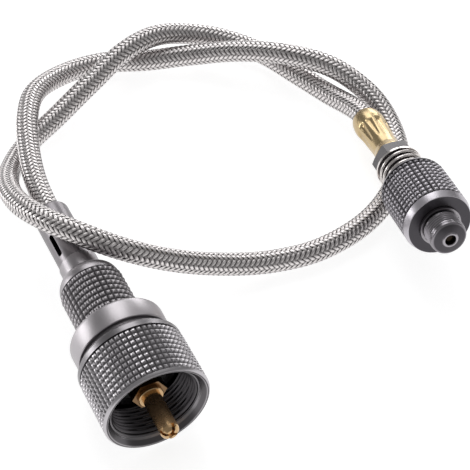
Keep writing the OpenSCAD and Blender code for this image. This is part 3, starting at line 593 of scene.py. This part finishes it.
# The nut's tones are painted light: the rim face, the mouth's bevel, the rear, the lip, the bore and the
# thread are darkened as painted shade, and the rounded outer edges keep full colour as painted highlights.
nutSet = {"radius": 15.8, "length": 20.38, "bevel": 1.2, "mouth": 13.2, "bore": 12.8, "relief": 13.2,
    "lip": 10.06, "lipFront": 16.68, "rimTone": 0.18, "bevelTone": 0.22, "rearTone": 0.45, "lipTone": 0.4,
    "insideTone": 0.1,
    "knurl": {"start": 1.1, "end": 17.48, "rings": 9, "around": 59, "depth": 0.6, "flat": 0.3,
        "grime": 0.3},
    "thread": {"start": 2.2, "end": 12.8, "pitch": 1.27, "cut": 0.68, "run": 0.8, "shade": 0.7,
        "tone": 0.16, "rows": 97}}


# The profile goes out over the mouth's bevel and rim, back along the knurl, round the rear lip, and
# forward through the relief and the thread.
def couplingNut():
    s = nutSet
    knurl, thread = s["knurl"], s["thread"]
    radius, length, dim, inside = s["radius"], s["length"], s["rimTone"], s["insideTone"]
    front = fillet([(s["mouth"], 1.8, 0.1, 0.7), (13.6, 1.25, 0, s["bevelTone"]),
        (14.45, 0.25, 0.1, s["bevelTone"]), (14.7, 0, 0.1, 0.8), (14.8, 0, 0, dim), (15.1, 0, 0, dim),
        (15.2, 0.03, 0.1, 1), (15.5, 0.3, 0.15, 1), (radius, 0.9, 0.05, 0.9)])
    grip = wall(knurl["start"], knurl["end"], radius, knurl["rings"] * toothSteps + 1)
    back = radius - 0.1
    rear = fillet([(radius, knurl["end"], 0), (back, knurl["end"] + 0.1, 0.05, s["rearTone"]),
        (back, length - s["bevel"], 0.15, s["rearTone"]), (radius - 1, length, 0.15, s["lipTone"]),
        (s["lip"], length, 0.15, s["lipTone"]), (s["lip"], s["lipFront"], 0.03, inside),
        (s["relief"], s["lipFront"], 0.05, inside), (s["bore"], thread["end"] + 0.2, 0, inside)])[1:-1]
    inner = wall(thread["end"], thread["start"], s["bore"], thread["rows"], thread["tone"])
    lead = np.array([(s["mouth"], 2.15, 0.4)])
    parts = [(front, None), (grip, pyramids(knurl)), (rear, None), (inner, helix(thread)), (lead, None)]
    return revolve("couplingNut", atInlet, parts, knurl["around"] * toothSteps)


finish(couplingNut(), "coupling", "anodised_grey", nutFinish, "coupling_nut")

# The stem's tones are painted light: the tail and shoulder are darkened as a painted shadow of the hose, the
# grip as painted shade, and the seat, spigot, flange and bores inside the nut as painted shade. The band
# keeps full colour.
stemSet = {"band": 14.2, "bandStart": 22.38, "bandEnd": 29.88, "grip": 9.6, "tail": 5.9, "end": 57.48,
    "seat": 13.0, "seatEdge": 9.0, "spigot": 10.0, "spigotStart": 15.2, "spigotEnd": 20.9, "flange": 13.1,
    "neck": 9.2, "shoulder": 4.5, "probeHole": 2.6, "pocket": 4.0, "pocketEnd": 19.5, "bore": 1.5,
    "socket": 4.56, "socketEnd": 59.08, "gripShadeTone": 0.85, "tailShadowTone": 0.78, "insideTone": 0.1,
    "knurl": {"start": 30.28, "end": 47.48, "rings": 9, "around": 33, "depth": 0.5, "flat": 0.3,
        "grime": 0.2}}


# The profile goes out over the probe's seat and the spigot in the nut, back over the band, the knurled
# grip, the shoulder and the tail, and forward through the bore.
def stemBody():
    s = stemSet
    # smooth carries the painted shadow of the hose over the tail and the shoulder.
    knurl, inside, smooth = s["knurl"], s["insideTone"], s["tailShadowTone"]
    neck = fillet([(s["probeHole"], s["seat"], 0.05, 0.2), (s["seatEdge"], s["seat"], 0.1, 0.2),
        (s["seatEdge"], s["spigotStart"], 0.02, 0.2), (s["spigot"], s["spigotStart"], 0.05, 0.4),
        (s["spigot"], s["spigotEnd"], 0.1, 0.4), (s["flange"], s["spigotEnd"], 0.2, 0.5),
        (s["flange"], s["bandStart"], 0.1, 0.35), (s["band"] - 0.1, s["bandStart"], 0.3),
        (s["band"], s["bandEnd"], 1.5), (s["neck"], s["bandEnd"], 0.15, 0.4),
        (s["neck"], knurl["start"], 0, 0.2)])
    root, neckRadius = s["grip"] - 0.3, s["tail"] + 0.15
    shoulderStart = knurl["end"] + 0.05
    shoulderEnd = shoulderStart + s["shoulder"]
    shoulder = quarterRound(root, shoulderStart, root - neckRadius, s["shoulder"], count=14)
    shoulder[:, 2] = smooth
    rest = fillet([(neckRadius, shoulderEnd + 0.02, 0, smooth), (s["tail"], shoulderEnd + 0.37, 0.3, smooth),
        (s["tail"], s["end"], 0.15, smooth), (s["socket"], s["end"], 0.02, 0.3),
        (s["socket"], s["socketEnd"], 0.1, 0.2), (s["bore"], s["socketEnd"], 0.05, inside),
        (s["bore"], s["pocketEnd"], 0.05, inside), (s["pocket"], s["pocketEnd"], 0.05, inside),
        (s["pocket"] + 0.04, s["seat"] + 0.5, 0, inside)])[1:-1]
    grip = wall(knurl["start"], knurl["end"], s["grip"], knurl["rings"] * toothSteps + 1, s["gripShadeTone"])
    parts = [(neck[:-1], None), (grip, pyramids(knurl)), (shoulder, None), (rest, None)]
    return revolve("stemBody", atInlet, parts, knurl["around"] * toothSteps)


finish(stemBody(), "hose_assembly", "anodised_grey", stemFinish, "stem_body")
print("inlet fitting made")

# The collar's tones are painted light: its finish is bright so that the chamfer, at full colour, is a painted
# highlight, while the face, the knurl, the rounded rear and the bore are darkened as painted shade.
collarSet = {"radius": 10.45, "length": 22.5, "face": 9.8, "chamferEnd": 2.3, "rear": 8.6, "mouth": 5.85,
    "mouthEnd": 4.0, "bore": 7.5, "backStart": 18.5, "rows": 72, "faceTone": 0.10, "knurlTone": 0.82,
    "backTone": 0.38, "insideTone": 0.1,
    "knurl": {"start": 3.1, "end": 20.4, "rings": 10, "around": 35, "depth": 0.45, "flat": 0.32,
        "grime": 0.08}}


# The profile goes out over the face and the chamfer, back along the knurl and the rounded rear, which
# keeps studs until the knurl's end, and forward through the bore.
def outletCollar():
    s = collarSet
    knurl, inside = s["knurl"], s["insideTone"]
    radius, mouth, dim = s["radius"], s["mouth"], s["faceTone"]
    front = fillet([(mouth, s["mouthEnd"], 0.05, inside), (mouth, 0.0, 0.15, 0.5), (6.1, 0, 0, dim),
        (s["face"] - 0.2, 0, 0, dim), (s["face"], 0.0, 0.1), (radius, s["chamferEnd"], 0.15),
        (radius, knurl["start"] - 0.1, 0)])[:-1]
    side = wall(knurl["start"], s["backStart"] - 0.1, radius, s["rows"], s["knurlTone"])
    back = quarterRound(radius, s["backStart"], radius - s["rear"], s["length"] - s["backStart"], count=40)
    back[:, 2] = s["backTone"]
    studded = back[:, 1] < knurl["end"]
    hole = np.array([(8.5, s["length"], 0.7), (s["bore"] + 0.05, s["length"], 0.3),
        (s["bore"], s["length"] - 0.1, inside), (s["bore"], s["mouthEnd"] + 0.05, inside),
        (s["bore"] - 0.05, s["mouthEnd"], inside)])
    studs = np.vstack([side, back[studded]])
    parts = [(front, None), (studs, pyramids(knurl)), (back[~studded], None), (hole, None)]
    return revolve("outletCollar", atOutlet, parts, knurl["around"] * toothSteps)


finish(outletCollar(), "collar", "anodised_dark", collarFinish, "outlet_collar")

# The nipple's tones are painted light: the face, the plain side, the flange and the bores are darkened as
# painted shade, and the hole's rounded lip and the nose's rounded edge stand brighter as painted highlights.
nippleSet = {"radius": 5.55, "plain": 5.45, "tip": -8.0, "hole": 1.65, "undercut": 5.3, "flange": 5.8,
    "flangeEnd": 7.6, "stem": 5.2, "end": 31.5, "bore": 4.2, "groove": 4.59, "grooveStart": 19.0,
    "grooveEnd": 20.0, "valveBore": 2.7, "valveEnd": 9.6, "columns": 160, "faceTone": 0.15,
    "sideTone": 0.34, "insideTone": 0.1,
    "thread": {"start": -5.9, "end": -1.6, "pitch": 0.907, "cut": 0.34, "run": 0.7, "shade": 0.55,
        "rows": 53}}


# The profile goes out over the hole's lip and the sloping nose, back over the thread, the flange and the
# long stem, and forward through the swivel's bore with its ring groove and the valve's bore.
def outletNipple():
    s = nippleSet
    tip, dim, thread, inside = s["tip"], s["faceTone"], s["thread"], s["insideTone"]
    hole, flange, stem, bore, groove = s["hole"], s["flange"], s["stem"], s["bore"], s["groove"]
    front = fillet([(hole, tip + 1.3, 0.05, 0.05), (hole, tip - 0.3, 0.3, 1), (2.25, tip - 0.3, 0.3, 1),
        (2.45, tip, 0.1, 0.4), (2.6, tip + 0.02, 0, dim), (4.7, tip + 0.65, 0, dim),
        (s["plain"] - 0.05, tip + 0.85, 0.6, 0.7), (s["plain"], thread["start"] - 0.2, 0.1, s["sideTone"]),
        (s["radius"], thread["start"], 0)], steps=8)[:-1]
    crest = wall(thread["start"], thread["end"], s["radius"], thread["rows"])
    back = fillet([(s["radius"], thread["end"], 0), (s["undercut"], thread["end"] + 0.1, 0.05, inside),
        (s["undercut"], -0.1, 0.02, inside), (flange, -0.1, 0.02, 0.5), (flange, s["flangeEnd"], 0.02, 0.5),
        (stem, s["flangeEnd"] + 0.4, 0.02, inside), (stem, s["end"], 0.05, inside),
        (bore, s["end"], 0.05, inside), (bore, s["grooveEnd"], 0.02, inside),
        (groove, s["grooveEnd"], 0.02, inside), (groove, s["grooveStart"], 0.02, inside),
        (bore, s["grooveStart"], 0.02, inside), (bore, s["valveEnd"], 0.02, inside),
        (s["valveBore"], s["valveEnd"], 0.02, inside), (s["valveBore"], tip + 1.3, 0.02, 0.05)])[1:]
    parts = [(front, None), (crest, helix(thread)), (back, None)]
    return revolve("outletNipple", atOutlet, parts, s["columns"])


finish(outletNipple(), "nipple", "anodised_dark", nippleFinish, "outlet_nipple")

# The ferrule's socket and hole are darkened by their tones as painted shade, and the flutes by their shade
# share; the groove colour of its finish is that painted shade.
ferruleSet = {"front": 37.48, "head": 5.1, "headEnd": 39.2, "waist": 4.3, "waistStart": 41.8, "hole": 2.24,
    "socket": 3.54, "socketStart": 47.04, "end": 61.48, "crimpStart": 44.3, "crimpEnd": 56.88,
    "rounding": 1.06, "rows": 64, "columns": 320,
    "widening": [(44.68, 4.3), (51.3, 4.6), (55.48, 4.95), (56.88, 5.1)],
    "flutes": 10, "fluteRadius": 1.5, "fluteMiddle": 5.75, "fluteStart": 45.2, "fluteEnd": 55.4, "fade": 1.8,
    "deepest": 0.5, "shade": 0.25}


# The profile goes out over the head and in to the waist, back along the widening crimp and the domed
# end, and forward through the hose's socket.
def outletFerrule():
    s = ferruleSet
    z = np.linspace(s["crimpStart"], s["crimpEnd"], s["rows"])
    crimp = np.stack([np.interp(z, *zip(*s["widening"])), z, np.ones_like(z)], -1)
    start = fillet([(s["hole"], s["front"], 0.02, 0.3), (s["head"], s["front"], 0.2),
        (s["head"], s["headEnd"], 0.8), (s["waist"], s["waistStart"], 2.5),
        (s["waist"], s["crimpStart"] - 0.1, 0)], steps=5)
    inside = np.array([(3.6, s["end"], 0.5), (s["socket"], s["end"] - 0.08, 0.3),
        (s["socket"], s["socketStart"], 0.2), (s["hole"], s["socketStart"], 0.2)])

    # A flute is a round bar's track: the ray at an angle from its middle meets the track at c cos(angle)
    # less the root of its radius squared less (c sin(angle)) squared. Its depth fades in at both ends, and
    # its tone falls with the depth by the shade share: painted shade in the flute.
    def flute(r, z, a):
        step = 2 * math.pi / s["flutes"]
        off = a - np.round(a / step) * step
        left = s["fluteRadius"] ** 2 - (s["fluteMiddle"] * np.sin(off)) ** 2
        track = s["fluteMiddle"] * np.cos(off) - np.sqrt(np.clip(left, 0, None))
        near = np.clip(np.minimum(z - s["fluteStart"], s["fluteEnd"] - z) / s["fade"], 0, 1)
        depth = np.where(left > 0, np.clip(r - track, 0, None), 0) * near ** 2 * (3 - 2 * near)
        return r - depth, 1 - s["shade"] * np.clip(depth / s["deepest"], 0, 1)

    domeStart = s["crimpEnd"] + 0.12
    dome = quarterRound(s["head"], domeStart, s["rounding"], s["end"] - domeStart)[:-1]
    parts = [(start[:-1], None), (crimp, flute), (dome, None), (inside, None)]
    return revolve("outletFerrule", atOutlet, parts, s["columns"], smoothAngle=48)


finish(outletFerrule(), "hose_assembly", "brass", ferruleFinish, "outlet_ferrule")


# A round wire wound in a helix: its middle line is (r cos a, r sin a, z), and z grows with the angle.
wireSet = {"ringsPerCurl": 32, "sides": 12}


def coil(name, s, body, node):
    rings, sides = s["curls"] * wireSet["ringsPerCurl"] + 1, wireSet["sides"]
    a = np.linspace(0, s["curls"] * 2 * math.pi, rings)
    z = np.linspace(s["start"] + s["wire"], s["end"] - s["wire"], rings)
    line = np.stack([s["radius"] * np.cos(a), s["radius"] * np.sin(a), z], -1)
    outward = np.stack([np.cos(a), np.sin(a), np.zeros_like(a)], -1)
    upward = np.tile([0, 0, 1.0], (rings, 1))
    points, quads = capped(tube(line, outward, upward, s["wire"], sides).reshape(-1, 3), rings, sides)
    mesh = putMesh(name, atOutlet(points), quads, smoothAngle=50)
    piece = finish(mesh, body, "spring_steel", springFinish, node)
    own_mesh(piece)


collarSpringSet = {"curls": 11, "radius": 6.65, "wire": 0.54, "start": 4.04, "end": 31.56, "travel": 3,
    "joint": "collar_slide"}
valveSpringSet = {"curls": 5, "radius": 1.75, "wire": 0.24, "start": -4.43, "end": 1.57, "travel": 1.5,
    "joint": "plunger_slide"}
coil("collarCoil", collarSpringSet, "hose_assembly", "collar_spring")
coil("valveCoil", valveSpringSet, "nipple", "valve_spring")
print("outlet fitting made")

# The solids that keep their own shape take their finish here.
finishes = {"nut_retainer": shadedSleeveFinish, "nut_washer": nylon, "seat_gasket": rubber,
    "inlet_probe": probeFinish, "inlet_hose_tail": ringFinish, "inlet_ferrule": innerBrass,
    "tail_sleeve": shadedSleeveFinish, "outlet_hose_tail": ringFinish, "hex_adapter": hexFinish,
    "swivel_oring": rubber, "swivel_ring": springFinish, "spring_washer": springFinish,
    "stop_ring": ringFinish, "valve_seat": rubber, "valve_plunger": pinInShade, "valve_retainer": innerBrass}
for node, material in finishes.items():
    solid = frame["nodes"][node]
    if not solid.material_slots:
        solid.data.materials.append(material)
    for place in solid.material_slots:
        place.link = "OBJECT"
        place.material = material
print("solids finished")

# A pale floor: camera, gloss and clear rays see it brighter, and it keeps the object's shadow.
floorSet = {"half": 6, "drop": 0.0002, "colour": 0.52, "rough": 0.9, "glow": 0.82}
floorMesh = bpy.data.meshes.new("floor")
reach, drop = floorSet["half"], -floorSet["drop"]
floorMesh.from_pydata([(-reach, -reach, drop), (reach, -reach, drop), (reach, reach, drop),
    (-reach, reach, drop)], [], [(0, 1, 2, 3)])
floor = bpy.data.objects.new("floor", floorMesh)
scene.collection.objects.link(floor)
floorFinish, floorTree, floorShader = newMaterial("paleFloor")
floorShader.inputs["Base Color"].default_value = (floorSet["colour"],) * 3 + (1,)
floorShader.inputs["Roughness"].default_value = floorSet["rough"]
floorShader.inputs["Specular IOR Level"].default_value = 0.0
floorShader.inputs["Emission Color"].default_value = (1, 1, 1, 1)
floorPath = floorTree.nodes.new("ShaderNodeLightPath")
floorRays = mathNode(floorTree, "ADD", floorPath.outputs["Is Glossy Ray"],
    floorPath.outputs["Is Transmission Ray"])
floorSeen = mathNode(floorTree, "ADD", floorPath.outputs["Is Camera Ray"], floorRays, True)
floorGlow = mathNode(floorTree, "MULTIPLY", floorSeen, floorSet["glow"])
floorTree.links.new(floorGlow, floorShader.inputs["Emission Strength"])
floorMesh.materials.append(floorFinish)

# Soft lamps: towards is the direction from the object, in which a lamp stands at a distance in metres.
lampSet = [
    {"name": "leftLamp", "towards": (-0.79, 0.60, 0.10), "distance": 0.95, "size": (0.45, 0.38),
        "watts": 2.4},
    {"name": "backLamp", "towards": (0.16, 0.70, 0.65), "distance": 1.25, "size": (0.6, 1.2),
        "watts": 4.6},
    {"name": "topLamp", "towards": (0.35, 0.30, 0.90), "distance": 1.7, "size": (2.0, 2.0),
        "watts": 3.4},
    {"name": "rightLamp", "towards": (0.62, 0.76, 0.16), "distance": 0.95, "size": (0.36, 0.36),
        "watts": 1.4}]
for settings in lampSet:
    data = bpy.data.lights.new(settings["name"], "AREA")
    data.shape = "RECTANGLE"
    data.size, data.size_y = settings["size"]
    data.energy = settings["watts"]
    lamp = bpy.data.objects.new(settings["name"], data)
    scene.collection.objects.link(lamp)
    towards = np.array(settings["towards"])
    lamp.matrix_world = facing(-towards, towards / np.linalg.norm(towards) * settings["distance"])

worldSet = {"colour": (1, 1, 1, 1), "strength": 0.27}
world = bpy.data.worlds.new("studio")
scene.world = world
world.use_nodes = True
background = world.node_tree.nodes["Background"]
background.inputs["Color"].default_value = worldSet["colour"]
background.inputs["Strength"].default_value = worldSet["strength"]
scene.view_settings.view_transform = "Standard"
print("floor and lamps placed")
